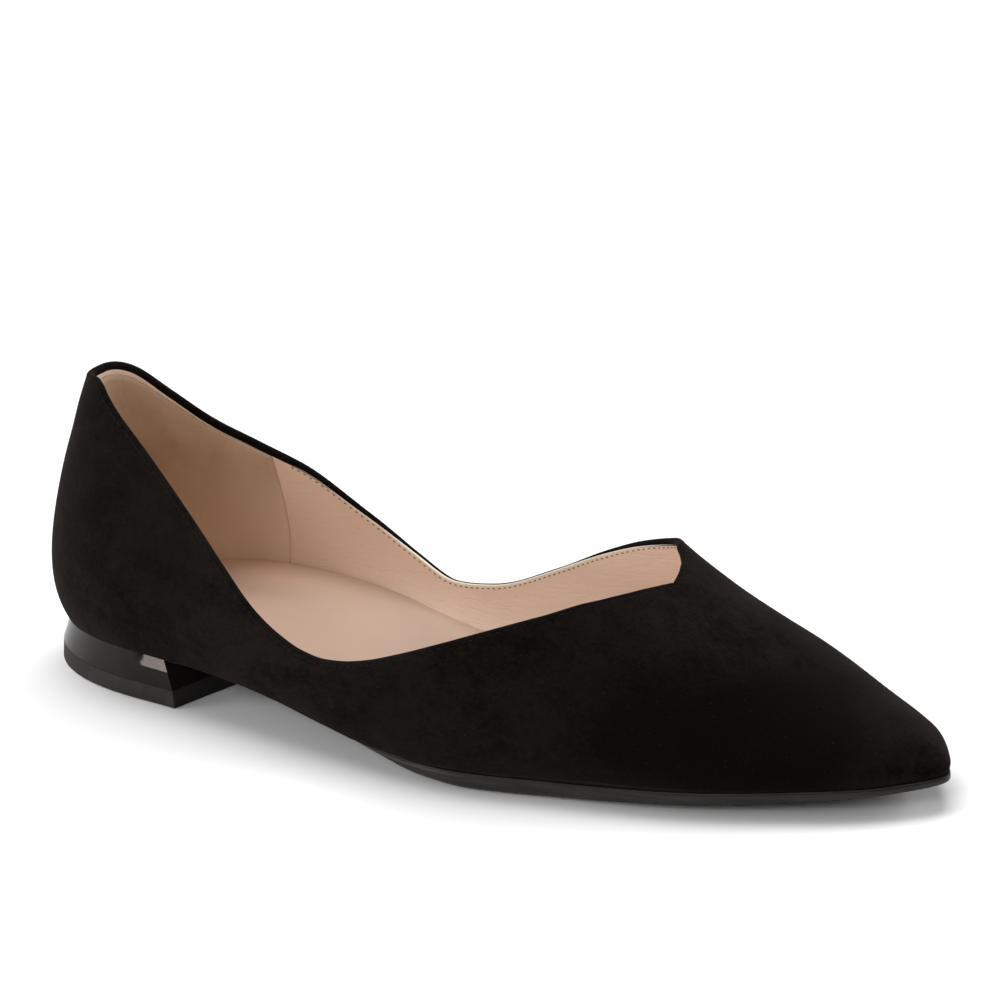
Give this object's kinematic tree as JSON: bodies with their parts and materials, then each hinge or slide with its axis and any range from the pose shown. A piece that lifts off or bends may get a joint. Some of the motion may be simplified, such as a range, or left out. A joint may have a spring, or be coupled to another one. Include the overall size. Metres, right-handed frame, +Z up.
{
  "type": "ballet flat",
  "caption": "Black suede ballet flat for the right foot, with a long pointed toe, a V throat, a collar cut low at both sides, rose-beige leather lining and a very low glossy heel.",
  "frame": {"origin": "on the floor under the middle of the shoe's bounding box", "axes": "+X from the heel to the toe, +Y to the medial side (the big toe's side), +Z up"},
  "size_m": [0.2534, 0.0734, 0.0706],
  "materials": {
    "suede": "black suede, brushed nap, matte",
    "lining_leather": "rose-beige smooth leather, satin",
    "sole_board": "dark grey, satin edge",
    "heel_gloss": "black, glossy",
    "lift_rubber": "black, matte"
  },
  "bodies": {
    "root": {"upper": "suede", "insole": "lining_leather", "outsole": "sole_board", "heel_block": "heel_gloss", "heel_lift": "lift_rubber"}
  },
  "joints": []
}
